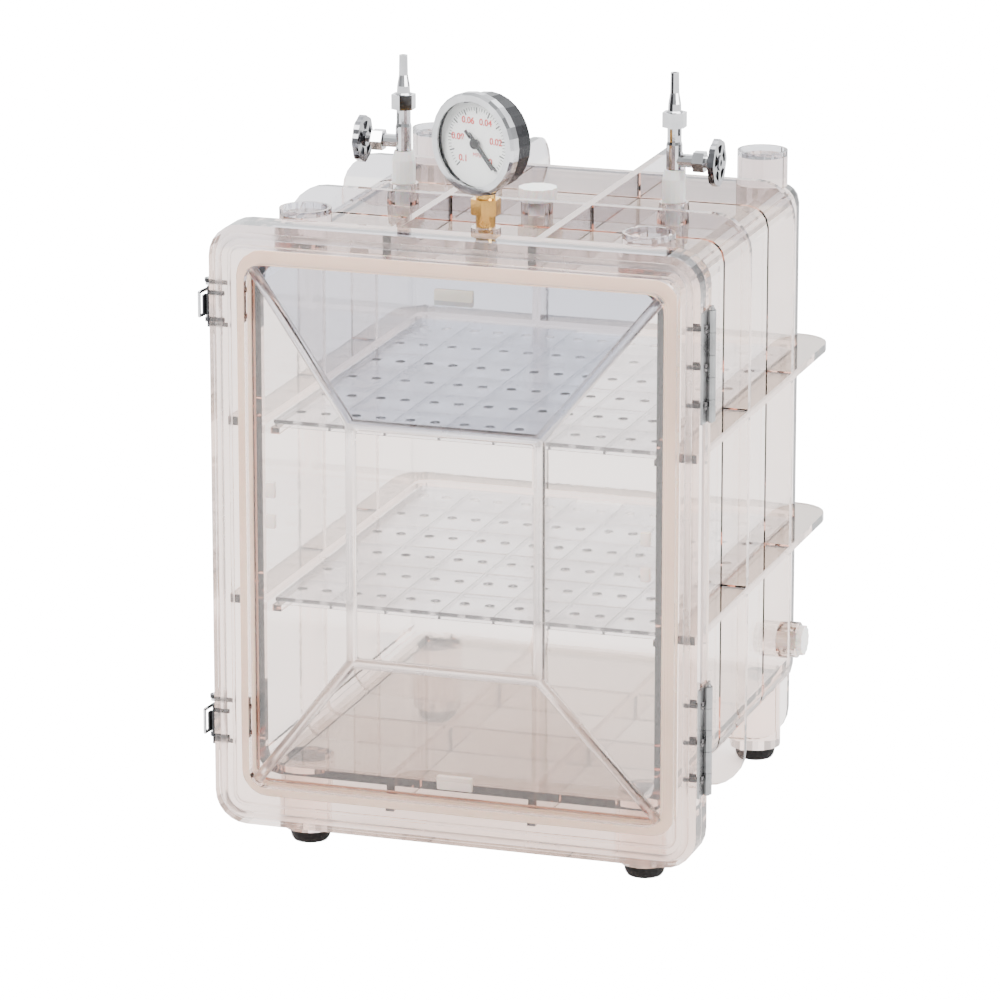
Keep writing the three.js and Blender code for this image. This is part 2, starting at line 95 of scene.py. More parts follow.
def mixColour(tree, factor, first, second, blend="MIX"):
    made = put(tree, "Mix", data_type="RGBA", blend_type=blend)
    for socket, value in ((made.inputs[0], factor), (made.inputs[6], first), (made.inputs[7], second)):
        if isinstance(value, bpy.types.NodeSocket):
            tree.links.new(value, socket)
        else:
            socket.default_value = value
    return made.outputs[2]


def ramp(tree, value, low, high, outLow=0.0, outHigh=1.0):
    return put(tree, "MapRange", {"Value": value, "From Min": low, "From Max": high,
                                  "To Min": outLow, "To Max": outHigh}).outputs["Result"]


# handled: a soft smudge mask, fine grain and hair scratches, for surfaces that are touched and wiped
def buildHandled():
    group, given, result = newGroup(
        "handled",
        [("Smudge Size", "Float", 18.0), ("Grain Size", "Float", 900.0), ("Scratch", "Float", 0.5)],
        [("Smudge", "Float"), ("Grain", "Float"), ("Scratches", "Float")])
    place = put(group, "TexCoord").outputs["Object"]
    smudge = put(group, "TexNoise", {"Vector": place, "Scale": given.outputs["Smudge Size"], "Detail": 4.0,
                                     "Roughness": 0.55})
    grain = put(group, "TexNoise", {"Vector": place, "Scale": given.outputs["Grain Size"], "Detail": 2.0})
    stretched = put(group, "Mapping", {"Vector": place, "Rotation": (0.5, 0.9, 0.3),
                                       "Scale": (1.0, 14.0, 1.6)})
    hair = put(group, "TexNoise", {"Vector": stretched.outputs[0], "Scale": 140.0, "Detail": 3.0,
                                   "Roughness": 0.7})
    lines = ramp(group, hair.outputs["Fac"], 0.62, 0.78)
    scratches = put(group, "Math", {0: lines, 1: given.outputs["Scratch"]}, operation="MULTIPLY")
    group.links.new(ramp(group, smudge.outputs["Fac"], 0.38, 0.68), result.inputs["Smudge"])
    group.links.new(grain.outputs["Fac"], result.inputs["Grain"])
    group.links.new(scratches.outputs[0], result.inputs["Scratches"])
    return group


# the resin's own tone on upright walls, and painted light by facet: a darker tone on level walls as painted shade,
# and on sloping facets a painted reflection above one height and painted shade below another
def buildTintAndPaintedFacetLight():
    white = (1, 1, 1, 1)
    group, given, result = newGroup(
        "tintAndPaintedFacetLight",
        [("Upright", "Color", white), ("Level", "Color", white), ("High", "Color", white),
         ("Low", "Color", white), ("High From", "Float", 0.29), ("Low From", "Float", 0.14),
         ("Slope From", "Float", 0.08), ("Cloud Size", "Float", 6.0)],
        [("Tint", "Color")])
    coordinates = put(group, "TexCoord")
    lift = put(group, "SeparateXYZ", {0: coordinates.outputs["Normal"]})
    flatness = put(group, "Math", {0: lift.outputs["Z"]}, operation="ABSOLUTE").outputs[0]
    level = ramp(group, flatness, 0.5, 0.9)
    sloping = put(group, "Math", {0: flatness, 1: given.outputs["Slope From"]}, operation="GREATER_THAN")
    cloud = put(group, "TexNoise", {"Vector": coordinates.outputs["Object"],
                                    "Scale": given.outputs["Cloud Size"], "Detail": 3.0})
    patch = ramp(group, cloud.outputs["Fac"], 0.3, 0.7, 0.7, 1.0)
    place = put(group, "SeparateXYZ", {0: coordinates.outputs["Object"]}).outputs["Z"]
    tone = mixColour(group, level, given.outputs["Upright"], given.outputs["Level"])
    for side, test in (("High", "GREATER_THAN"), ("Low", "LESS_THAN")):
        reached = put(group, "Math", {0: place, 1: given.outputs[side + " From"]}, operation=test)
        facet = put(group, "Math", {0: reached.outputs[0], 1: sloping.outputs[0]}, operation="MULTIPLY")
        share = put(group, "Math", {0: facet.outputs[0], 1: patch}, operation="MULTIPLY")
        tone = mixColour(group, share.outputs[0], tone, given.outputs[side])
    group.links.new(tone, result.inputs["Tint"])
    return group


handled = buildHandled()
tintAndPaintedFacetLight = buildTintAndPaintedFacetLight()


def useGroup(tree, group, values):
    made = tree.nodes.new("ShaderNodeGroup")
    made.node_tree = group
    for name, value in values.items():
        made.inputs[name].default_value = value
    return made


def startMaterial(name):
    material = bpy.data.materials.new(name)
    material.use_nodes = True
    tree = material.node_tree
    tree.nodes.clear()
    return material, tree, put(tree, "OutputMaterial")


# an opaque finish: two tones mixed by smudges, a third in the scratches, roughness from the smudges,
# bump from grain and scratches
def solidFinish(name, look):
    material, tree, output = startMaterial(name)
    effect = useGroup(tree, handled, {"Smudge Size": look["smudgeSize"], "Grain Size": look["grainSize"],
                                      "Scratch": look["scratch"]})
    tone = mixColour(tree, effect.outputs["Smudge"], (*look["tone"], 1), (*look["tone2"], 1))
    worn = mixColour(tree, effect.outputs["Scratches"], tone, (*look["scratchTone"], 1))
    rough = ramp(tree, effect.outputs["Smudge"], 0, 1, look["rough"][0], look["rough"][1])
    height = put(tree, "Math", {0: effect.outputs["Grain"], 1: effect.outputs["Scratches"]},
                 operation="SUBTRACT")
    bump = put(tree, "Bump", {"Height": height.outputs[0], "Strength": look["bump"], "Distance": 0.0002})
    shader = put(tree, "BsdfPrincipled", {"Base Color": worn, "Roughness": rough, "Normal": bump.outputs[0],
                                          "Metallic": look["metallic"], "Coat Weight": look["coat"],
                                          "Coat Roughness": 0.12,
                                          "Specular IOR Level": look.get("shine", 0.5),
                                          "Subsurface Weight": look.get("soft", 0.0),
                                          "Subsurface Scale": 0.004})
    tree.links.new(shader.outputs[0], output.inputs["Surface"])
    return material


# a clear finish; lamps pass it, so that what stands inside and the floor beneath stay lit
def clearFinish(name, look):
    material, tree, output = startMaterial(name)
    effect = useGroup(tree, handled, {"Smudge Size": look["smudgeSize"], "Grain Size": look["grainSize"],
                                      "Scratch": look["scratch"]})
    # the base colour is the resin's tint plus painted shade and painted reflection, set by facet and height
    tintAndPaintedLight = useGroup(tree, tintAndPaintedFacetLight, {
        "Upright": (*look["upright"], 1), "Level": (*look["level"], 1), "High": (*look["high"], 1),
        "Low": (*look["low"], 1), "High From": look["highFrom"], "Low From": look["lowFrom"],
        "Slope From": look["slopeFrom"], "Cloud Size": look["cloudSize"]})
    rough = ramp(tree, effect.outputs["Smudge"], 0, 1, look["rough"][0], look["rough"][1])
    height = put(tree, "Math", {0: effect.outputs["Grain"], 1: effect.outputs["Smudge"], 2: look["wave"]},
                 operation="MULTIPLY_ADD")
    bump = put(tree, "Bump", {"Height": height.outputs[0], "Strength": look["bump"], "Distance": 0.0004})
    shader = put(tree, "BsdfPrincipled", {"Base Color": tintAndPaintedLight.outputs[0], "Roughness": rough,
                                          "Normal": bump.outputs[0], "Metallic": 0.0, "IOR": look["ior"],
                                          "Transmission Weight": 1.0})
    lampPass = put(tree, "BsdfTransparent", {"Color": (*look["shadow"], 1)})
    path = put(tree, "LightPath")
    both = put(tree, "MixShader", {0: path.outputs["Is Shadow Ray"], 1: shader.outputs[0],
                                   2: lampPass.outputs[0]})
    tree.links.new(both.outputs[0], output.inputs["Surface"])
    if look["density"]:
        depth = put(tree, "VolumeAbsorption", {"Color": (*look["depthTone"], 1), "Density": look["density"]})
        tree.links.new(depth.outputs[0], output.inputs["Volume"])
    return material


# upright is the resin's own tone; level and low are darker as painted shade, high is painted reflection, bluish on
# upper faces
clearLooks = {
    "tubResin": {"upright": (0.965, 0.952, 0.94), "level": (0.47, 0.41, 0.36), "high": (0.72, 0.73, 0.78),
                 "low": (0.47, 0.41, 0.36), "highFrom": 0.394, "lowFrom": 0.0, "slopeFrom": -1.0,
                 "cloudSize": 5.0, "ior": 1.53, "smudgeSize": 11.0, "grainSize": 260.0, "scratch": 0.0,
                 "rough": (0.012, 0.05), "wave": 2.0, "bump": 0.05, "shadow": (0.95, 0.94, 0.93),
                 "depthTone": (0.92, 0.79, 0.73), "density": 44.0},
    # the door's deep blue high tone is painted reflection on the pyramid's upper facets; its level and low tones
    # are painted shade
    "doorResin": {"upright": (0.965, 0.945, 0.935), "level": (0.80, 0.72, 0.68), "high": (0.43, 0.50, 0.63),
                  "low": (0.72, 0.66, 0.63), "highFrom": 0.26, "lowFrom": 0.16, "slopeFrom": 0.08,
                  "cloudSize": 4.0, "ior": 1.53, "smudgeSize": 11.0, "grainSize": 260.0, "scratch": 0.0,
                  "rough": (0.012, 0.05), "wave": 2.0, "bump": 0.05, "shadow": (0.95, 0.94, 0.93),
                  "depthTone": (0.92, 0.79, 0.73), "density": 44.0},
    "beadResin": {"upright": (0.99, 0.98, 0.97), "level": (0.98, 0.96, 0.95), "high": (0.99, 0.99, 1.0),
                  "low": (0.98, 0.95, 0.94), "highFrom": 0.26, "lowFrom": 0.16, "slopeFrom": -1.0,
                  "cloudSize": 14.0, "ior": 1.3, "smudgeSize": 20.0, "grainSize": 300.0, "scratch": 0.0,
                  "rough": (0.22, 0.34), "wave": 1.0, "bump": 0.05, "shadow": (0.97, 0.96, 0.96),
                  "depthTone": (0.97, 0.90, 0.88), "density": 8.0},
    "shelfResin": {"upright": (0.90, 0.91, 0.93), "level": (0.80, 0.82, 0.86), "high": (0.80, 0.83, 0.89),
                   "low": (0.9, 0.9, 0.9), "highFrom": 0.27, "lowFrom": 0.0, "slopeFrom": 0.5,
                   "cloudSize": 9.0, "ior": 1.32, "smudgeSize": 16.0, "grainSize": 500.0, "scratch": 0.0,
                   "rough": (0.12, 0.28), "wave": 1.0, "bump": 0.08, "shadow": (0.92, 0.92, 0.92),
                   "depthTone": (0.88, 0.90, 0.95), "density": 6.0},
    "lensResin": {"upright": (0.98, 0.985, 0.985), "level": (0.98, 0.98, 0.98), "high": (0.98, 0.98, 0.98),
                  "low": (0.98, 0.98, 0.98), "highFrom": 0.9, "lowFrom": 0.0, "slopeFrom": 0.5,
                  "cloudSize": 9.0, "ior": 1.45, "smudgeSize": 40.0, "grainSize": 900.0, "scratch": 0.0,
                  "rough": (0.0, 0.02), "wave": 0.5, "bump": 0.02, "shadow": (0.97, 0.97, 0.97),
                  "depthTone": (1, 1, 1), "density": 0.0},
}
solidLooks = {
    "sealSilicone": {"tone": (0.86, 0.73, 0.60), "tone2": (0.80, 0.66, 0.52), "scratchTone": (0.9, 0.8, 0.7),
                     "smudgeSize": 14.0, "grainSize": 1400.0, "scratch": 0.2, "rough": (0.42, 0.6),
                     "bump": 0.25, "metallic": 0.0, "coat": 0.0, "soft": 0.2},
    # painted shade: steel with a base colour far darker than real steel, standing in for the dark surroundings the
    # hinges reflect
    "satinSteelPaintedDark": {"tone": (0.20, 0.20, 0.20), "tone2": (0.33, 0.33, 0.33), "scratchTone": (0.45, 0.44, 0.42),
                   "smudgeSize": 60.0, "grainSize": 1600.0, "scratch": 0.7, "rough": (0.24, 0.42),
                   "bump": 0.35, "metallic": 1.0, "coat": 0.0},
    "brightChrome": {"tone": (0.46, 0.46, 0.47), "tone2": (0.60, 0.60, 0.61), "scratchTone": (0.9, 0.9, 0.9),
                     "smudgeSize": 45.0, "grainSize": 1200.0, "scratch": 0.25, "rough": (0.04, 0.13),
                     "bump": 0.06, "metallic": 1.0, "coat": 0.0},
    "brass": {"tone": (0.78, 0.50, 0.15), "tone2": (0.70, 0.42, 0.12), "scratchTone": (0.92, 0.7, 0.32),
              "smudgeSize": 70.0, "grainSize": 1500.0, "scratch": 0.5, "rough": (0.16, 0.3),
              "bump": 0.2, "metallic": 1.0, "coat": 0.0},
    "blackEnamel": {"tone": (0.012, 0.012, 0.014), "tone2": (0.022, 0.022, 0.024),
                    "scratchTone": (0.12, 0.12, 0.12), "smudgeSize": 50.0, "grainSize": 1500.0,
                    "scratch": 0.35, "rough": (0.16, 0.34), "bump": 0.12, "metallic": 0.0, "coat": 0.1,
                    "shine": 0.2},
    "footRubber": {"tone": (0.006, 0.006, 0.006), "tone2": (0.012, 0.012, 0.012),
                   "scratchTone": (0.04, 0.04, 0.04), "shine": 0.15,
                   "smudgeSize": 60.0, "grainSize": 1800.0, "scratch": 0.3, "rough": (0.5, 0.72),
                   "bump": 0.4, "metallic": 0.0, "coat": 0.0},
    "dialEnamel": {"tone": (0.88, 0.88, 0.86), "tone2": (0.85, 0.85, 0.83), "scratchTone": (0.9, 0.9, 0.9),
                   "smudgeSize": 60.0, "grainSize": 2200.0, "scratch": 0.0, "rough": (0.4, 0.5),
                   "bump": 0.05, "metallic": 0.0, "coat": 0.0},
    "pointerBlack": {"tone": (0.012, 0.012, 0.012), "tone2": (0.02, 0.02, 0.02),
                     "scratchTone": (0.1, 0.1, 0.1), "smudgeSize": 80.0, "grainSize": 2200.0,
                     "scratch": 0.2, "rough": (0.3, 0.45),
                     "bump": 0.08, "metallic": 0.0, "coat": 0.0},
    "milkNylon": {"tone": (0.88, 0.87, 0.84), "tone2": (0.82, 0.80, 0.77), "scratchTone": (0.92, 0.91, 0.9),
                  "smudgeSize": 40.0, "grainSize": 1300.0, "scratch": 0.2, "rough": (0.22, 0.4),
                  "bump": 0.12, "metallic": 0.0, "coat": 0.15, "soft": 0.4},
    "redPrint": {"tone": (0.62, 0.02, 0.015), "tone2": (0.52, 0.02, 0.015), "scratchTone": (0.7, 0.2, 0.2),
                 "smudgeSize": 200.0, "grainSize": 2500.0, "scratch": 0.1, "rough": (0.4, 0.55),
                 "bump": 0.05, "metallic": 0.0, "coat": 0.0},
    # painted reflection: chrome with a base colour far darker than real chrome, standing in for the dark
    # surroundings the handwheels reflect
    "chromePaintedDark": {"tone": (0.10, 0.10, 0.11), "tone2": (0.20, 0.20, 0.21), "scratchTone": (0.5, 0.5, 0.5),
                   "smudgeSize": 60.0, "grainSize": 1200.0, "scratch": 0.25, "rough": (0.05, 0.14),
                   "bump": 0.06, "metallic": 1.0, "coat": 0.6},
    "creamLug": {"tone": (0.90, 0.86, 0.72), "tone2": (0.84, 0.80, 0.66), "scratchTone": (0.92, 0.9, 0.8),
                 "smudgeSize": 80.0, "grainSize": 1300.0, "scratch": 0.2, "rough": (0.3, 0.45),
                 "bump": 0.12, "metallic": 0.0, "coat": 0.1, "soft": 0.3},
    "sealLine": {"tone": (0.66, 0.42, 0.32), "tone2": (0.58, 0.36, 0.28), "scratchTone": (0.75, 0.55, 0.45),
                 "smudgeSize": 30.0, "grainSize": 1400.0, "scratch": 0.1, "rough": (0.4, 0.55),
                 "bump": 0.15, "metallic": 0.0, "coat": 0.0, "soft": 0.2},
    "screwSteel": {"tone": (0.16, 0.15, 0.15), "tone2": (0.10, 0.10, 0.10), "scratchTone": (0.4, 0.38, 0.36),
                   "smudgeSize": 120.0, "grainSize": 1800.0, "scratch": 0.5, "rough": (0.25, 0.45),
                   "bump": 0.25, "metallic": 1.0, "coat": 0.0},
}
finishes = {name: clearFinish(name, look) for name, look in clearLooks.items()}
finishes.update({name: solidFinish(name, look) for name, look in solidLooks.items()})

# which finish each material slot of the record takes
slotFinish = {"clear_polycarbonate": "tubResin", "shelf_polycarbonate": "shelfResin",
              "gasket_rubber": "sealSilicone", "hinge_steel": "satinSteelPaintedDark", "chrome": "brightChrome",
              "brass": "brass", "black_metal": "blackEnamel", "rubber": "footRubber",
              "dial_white": "dialEnamel", "needle_black": "pointerBlack", "gauge_lens": "lensResin",
              "white_nylon": "milkNylon"}
for part in frame["record"]["subparts"]:
    node = cadNodes[part["node"]]
    for slotIndex in range(len(node.material_slots)):
        node.material_slots[slotIndex].material = finishes[slotFinish[part["material_slot"]]]
cadNodes["door"].material_slots[0].material = finishes["doorResin"]
# the handwheels take the chrome painted dark, a painted dark reflection
for side in ("left", "right"):
    cadNodes[f"valve_{side}_handwheel"].material_slots[0].material = finishes["chromePaintedDark"]
print("finishes made:", len(finishes))


# a cube between two corners, with its place in the mesh
def startBlock(name, low, high):
    deselectAll()
    low, high = Vector(low), Vector(high)
    bpy.ops.mesh.primitive_cube_add(size=1, location=(0, 0, 0))
    piece = bpy.context.object
    piece.name = name
    bpy.ops.object.mode_set(mode="EDIT")
    bpy.ops.mesh.select_all(action="SELECT")
    bpy.ops.transform.resize(value=high - low)
    bpy.ops.transform.translate(value=(low + high) / 2)
    bpy.ops.object.mode_set(mode="OBJECT")
    return piece


# a cylinder standing on `foot` and running along `way`
def startRod(name, foot, way, radius, length, sides=24):
    deselectAll()
    turn = Vector(way).to_track_quat("Z", "Y").to_euler()
    middle = Vector(foot) + Vector(way).normalized() * length / 2
    bpy.ops.mesh.primitive_cylinder_add(vertices=sides, radius=radius, depth=length, location=middle,
                                        rotation=turn)
    piece = bpy.context.object
    piece.name = name
    bpy.ops.object.transform_apply(location=True, rotation=True, scale=True)
    return piece


def applyBevel(piece, width, segments=2, angle=35):
    bevel = piece.modifiers.new("edges", "BEVEL")
    bevel.width, bevel.segments = width, segments
    bevel.limit_method, bevel.angle_limit = "ANGLE", math.radians(angle)
    bpy.context.view_layer.objects.active = piece
    bpy.ops.object.modifier_apply(modifier=bevel.name)
    return piece


# selects the faces of the piece in edit mode that a test picks by normal and centre
def selectFaces(piece, test):
    mesh = bmesh.from_edit_mesh(piece.data)
    for face in mesh.faces:
        face.select_set(test(face.normal, face.calc_center_median()))
    mesh.select_flush(True)
    bmesh.update_edit_mesh(piece.data)


def joinPieces(pieces, name):
    deselectAll()
    for piece in pieces:
        piece.select_set(True)
    bpy.context.view_layer.objects.active = pieces[0]
    if len(pieces) > 1:
        bpy.ops.object.join()
    pieces[0].name = name
    return pieces[0]


def copyPiece(piece, name, offset):
    deselectAll()
    twin = piece.copy()
    twin.data = piece.data.copy()
    twin.name = name
    bpy.context.scene.collection.objects.link(twin)
    twin.select_set(True)
    bpy.context.view_layer.objects.active = twin
    bpy.ops.object.mode_set(mode="EDIT")
    bpy.ops.mesh.select_all(action="SELECT")
    bpy.ops.transform.translate(value=offset)
    bpy.ops.object.mode_set(mode="OBJECT")
    return twin


def finishPiece(piece, finish, body, smooth=35):
    deselectAll()
    piece.select_set(True)
    bpy.context.view_layer.objects.active = piece
    bpy.ops.object.shade_smooth_by_angle(angle=math.radians(smooth))
    piece.data.materials.clear()
    piece.data.materials.append(finishes[finish])
    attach(piece, body)
    return piece


# lowest and highest reach of a CAD node along a direction from a point
def reach(nodeName, origin, way):
    values = [(vertex.co - origin).dot(way) for vertex in cadNodes[nodeName].data.vertices]
    return min(values), max(values)


# the gauge's printed scale, in metres and degrees
dialPrint = {"marks": 51, "every": 5, "sweep": 270, "start": 135, "ring": 0.0225, "minor": 0.0022,
             "major": 0.0038, "minorWidth": 0.00034, "majorWidth": 0.0008, "thickness": 0.00016,
             "numbers": ["0", "0.02", "0.04", "0.06", "0.08", "0.1"], "numberRing": 0.0152,
             "numberSize": 0.0058, "numberWeight": 0.00014, "unit": "MPa", "unitSize": 0.0038,
             "unitDrop": 0.0088, "lift": 0.00003}


def buildDialPrint():
    swing = joints["gauge_needle_swing"]
    centre, out = Vector(swing["pos_m"]), Vector(swing["axis"]).normalized()
    right = Vector((0, 0, 1)).cross(out)
    face = reach("gauge_dial", centre, out)[1] + dialPrint["lift"]

    # turns and moves a flat thing drawn in XY onto the dial
    def lay(piece, across, upwards, spin):
        deselectAll()
        piece.select_set(True)
        bpy.context.view_layer.objects.active = piece
        bpy.ops.object.convert(target="MESH")
        basis = (right, Vector((0, 0, 1)), out)
        cosine, sine = math.cos(spin), math.sin(spin)
        for vertex in piece.data.vertices:
            x, y, z = vertex.co
            x, y = x * cosine + y * sine, y * cosine - x * sine
            vertex.co = centre + basis[0] * (x + across) + basis[1] * (y + upwards) + basis[2] * (z + face)
        return piece

    marks, numbers = [], []
    for index in range(dialPrint["marks"]):
        angle = math.radians(dialPrint["start"] - index * dialPrint["sweep"] / (dialPrint["marks"] - 1))
        isMajor = index % dialPrint["every"] == 0
        length = dialPrint["major" if isMajor else "minor"]
        width = dialPrint["majorWidth" if isMajor else "minorWidth"]
        mark = startBlock("mark", (-width / 2, -length, 0), (width / 2, 0, dialPrint["thickness"]))
        ring = dialPrint["ring"]
        marks.append(lay(mark, ring * math.sin(angle), ring * math.cos(angle), angle))
        if index % (dialPrint["every"] * 2) == 0:
            deselectAll()
            bpy.ops.object.text_add(location=(0, 0, 0))
            text = bpy.context.object
            text.data.body = dialPrint["numbers"][index // (dialPrint["every"] * 2)]
            text.data.size, text.data.extrude = dialPrint["numberSize"], dialPrint["thickness"]
            text.data.offset = dialPrint["numberWeight"]
            text.data.align_x, text.data.align_y = "CENTER", "CENTER"
            ring = dialPrint["numberRing"]
            numbers.append(lay(text, ring * math.sin(angle), ring * math.cos(angle), 0))
    deselectAll()
    bpy.ops.object.text_add(location=(0, 0, 0))
    unit = bpy.context.object
    unit.data.body, unit.data.size = dialPrint["unit"], dialPrint["unitSize"]
    unit.data.extrude, unit.data.align_x = dialPrint["thickness"], "CENTER"
    numbers.append(lay(unit, 0, -dialPrint["unitDrop"], 0))
    finishPiece(joinPieces(marks, "gaugeScaleMarks"), "pointerBlack", "cabinet")
    finishPiece(joinPieces(numbers, "gaugeScaleNumbers"), "redPrint", "cabinet")


buildDialPrint()
print("dial printed")


# hinge and latch screws
screw = {"headRadius": 0.0027, "headHeight": 0.0011, "slotWidth": 0.0007, "slotDepth": 0.0005,
         "shankRadius": 0.0013, "shankLength": 0.0105, "threads": 9, "threadDepth": 0.00035,
         "plate": 0.0015, "hingeSpacing": 0.024, "hingeShift": 0.0006,
         "latchSpread": {"base": 0.0135, "keeper": 0.0085}}


# a slotted pan-head screw pointing along -way, its head's underside at `seat`
def buildScrew(name, seat, way):
    way = Vector(way).normalized()
    head = startRod("head", seat, way, screw["headRadius"], screw["headHeight"])
    bpy.ops.object.mode_set(mode="EDIT")
    selectFaces(head, lambda normal, centre: normal.dot(way) > 0.9)
    bpy.ops.mesh.bevel(offset=screw["headHeight"] * 0.6, segments=3, affect="EDGES")
    bpy.ops.object.mode_set(mode="OBJECT")
    pitch = screw["shankLength"] / screw["threads"]
    shank = startRod("shank", Vector(seat) - way * screw["shankLength"], way, screw["shankRadius"],
                     screw["shankLength"], 14)
    bpy.ops.object.mode_set(mode="EDIT")
    mesh = bmesh.from_edit_mesh(shank.data)
    sides = [edge for edge in mesh.edges
             if abs((edge.verts[0].co - edge.verts[1].co).normalized().dot(way)) > 0.9]
    for edge in mesh.edges:
        edge.select_set(edge in sides)
    bmesh.update_edit_mesh(shank.data)
    bpy.ops.mesh.subdivide(number_cuts=screw["threads"] * 2 - 1)
    mesh = bmesh.from_edit_mesh(shank.data)
    start = Vector(seat)
    for vertex in mesh.verts:
        depth = (start - vertex.co).dot(way)
        step = round(depth / pitch * 2)
        if step % 2 and 0 < step < screw["threads"] * 2:
            spoke = vertex.co - start - way * (vertex.co - start).dot(way)
            vertex.co += spoke.normalized() * screw["threadDepth"]
    bmesh.update_edit_mesh(shank.data)
    bpy.ops.object.mode_set(mode="OBJECT")
    slotBox = startBlock("slotCutter", (-screw["headRadius"], -screw["slotWidth"] / 2, -screw["slotDepth"]),
                         (screw["headRadius"], screw["slotWidth"] / 2, screw["slotDepth"]))
    turn = way.to_track_quat("Z", "Y").to_matrix()
    for vertex in slotBox.data.vertices:
        vertex.co = turn @ vertex.co + start + way * screw["headHeight"]
    cutSlot = head.modifiers.new("slot", "BOOLEAN")
    cutSlot.object, cutSlot.operation = slotBox, "DIFFERENCE"
    bpy.context.view_layer.objects.active = head
    bpy.ops.object.modifier_apply(modifier=cutSlot.name)
    bpy.data.objects.remove(slotBox)
    return joinPieces([head, shank], name)


def buildHingeScrews():
    for level in ("upper", "lower"):
        pinLow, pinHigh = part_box(f"hinge_{level}_pin")
        for part, body in (("door_leaf", "door"), ("body_leaf", "cabinet")):
            low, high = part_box(f"hinge_{level}_{part}")
            pin = (pinLow + pinHigh) / 2
            shift = screw["hingeShift"]
            y = (low.y + pin.y) / 2 - shift if body == "door" else (high.y + pin.y) / 2 + shift
            plate, spacing = low.x + screw["plate"], screw["hingeSpacing"]
            middle = (low.z + high.z) / 2
            first = buildScrew(f"hinge{level.title()}{body.title()}Screw1", (plate, y, middle - spacing),
                               (1, 0, 0))
            every = [first] + [copyPiece(first, f"copy{i}", (0, 0, spacing * i)) for i in (1, 2)]
            finishPiece(joinPieces(every, f"hinge{level.title()}{body.title()}Screws"), "screwSteel", body)


buildHingeScrews()
print("hinge screws set")


# shelves with moulded ribs and paired holes
shelf = {"columns": 7, "rows": 6, "skin": 0.0026, "ribWidth": 0.0016, "holeRadius": 0.0031, "holeSides": 12,
         "pairGap": 0.0165, "notchWidth": 0.032, "notchDepth": 0.007, "clear": 0.001,
         "bevel": 0.0003}


def buildShelf(name, nodeName):
    low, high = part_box(nodeName)
    width, depth, clear = high.x - low.x, high.y - low.y, shelf["clear"]
    plate = startBlock(name, (low.x, low.y, high.z - shelf["skin"]), high)
    cellX, cellY = width / shelf["columns"], depth / shelf["rows"]
    cutters = []
    for column in range(shelf["columns"]):
        for row in range(shelf["rows"]):
            for side in (-0.5, 0.5):
                foot = (low.x + (column + 0.5) * cellX + side * shelf["pairGap"],
                        low.y + (row + 0.5) * cellY, low.z - clear)
                cutters.append(startRod("hole", foot, (0, 0, 1), shelf["holeRadius"],
                                        high.z - low.z + 2 * clear, shelf["holeSides"]))
    middle = (low.x + high.x) / 2
    cutters.append(startBlock("notch", (middle - shelf["notchWidth"] / 2, high.y - shelf["notchDepth"],
                                        low.z - clear),
                              (middle + shelf["notchWidth"] / 2, high.y + clear, high.z + clear)))
    holes = joinPieces(cutters, "holes")
    # the ribs under the skin, with a rim all round
    deselectAll()
    bpy.ops.mesh.primitive_grid_add(x_subdivisions=shelf["columns"], y_subdivisions=shelf["rows"], size=1)
    ribs = bpy.context.object
    bpy.ops.object.mode_set(mode="EDIT")
    bpy.ops.mesh.select_all(action="SELECT")
    bpy.ops.transform.resize(value=(width - shelf["ribWidth"], depth - shelf["ribWidth"], 1))
    bpy.ops.transform.translate(value=(middle, (low.y + high.y) / 2, low.z + shelf["ribWidth"] / 2))
    bpy.ops.mesh.inset(thickness=shelf["ribWidth"] / 2, use_individual=True)
    bpy.ops.mesh.delete(type="FACE")
    bpy.ops.mesh.select_all(action="SELECT")
    bpy.ops.transform.translate(value=(0, 0, -shelf["ribWidth"] / 2))
    bpy.ops.mesh.extrude_region_move(
        TRANSFORM_OT_translate={"value": (0, 0, high.z - shelf["skin"] / 2 - low.z)})
    bpy.ops.mesh.select_all(action="SELECT")
    bpy.ops.mesh.normals_make_consistent(inside=False)
    bpy.ops.object.mode_set(mode="OBJECT")
    for tool, operation in ((ribs, "UNION"), (holes, "DIFFERENCE")):
        change = plate.modifiers.new("change", "BOOLEAN")
        change.object, change.operation, change.solver = tool, operation, "EXACT"
        change.use_self = operation == "DIFFERENCE"
        bpy.context.view_layer.objects.active = plate
        bpy.ops.object.modifier_apply(modifier=change.name)
        bpy.data.objects.remove(tool)
    applyBevel(plate, shelf["bevel"], 1, 50)
    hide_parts(nodeName)
    return finishPiece(plate, "shelfResin", nodeName, 30)


for level in ("upper", "lower"):
    buildShelf(f"shelf{level.title()}Tray", f"shelf_{level}")
print("shelves moulded")


# the brownish line in the door's gasket
sealRing = {"inset": 0.0006, "depth": -0.0022, "band": 0.0013, "thickness": 0.0016, "corner": 0.008,
            "segments": 8, "gasketBand": 0.009}


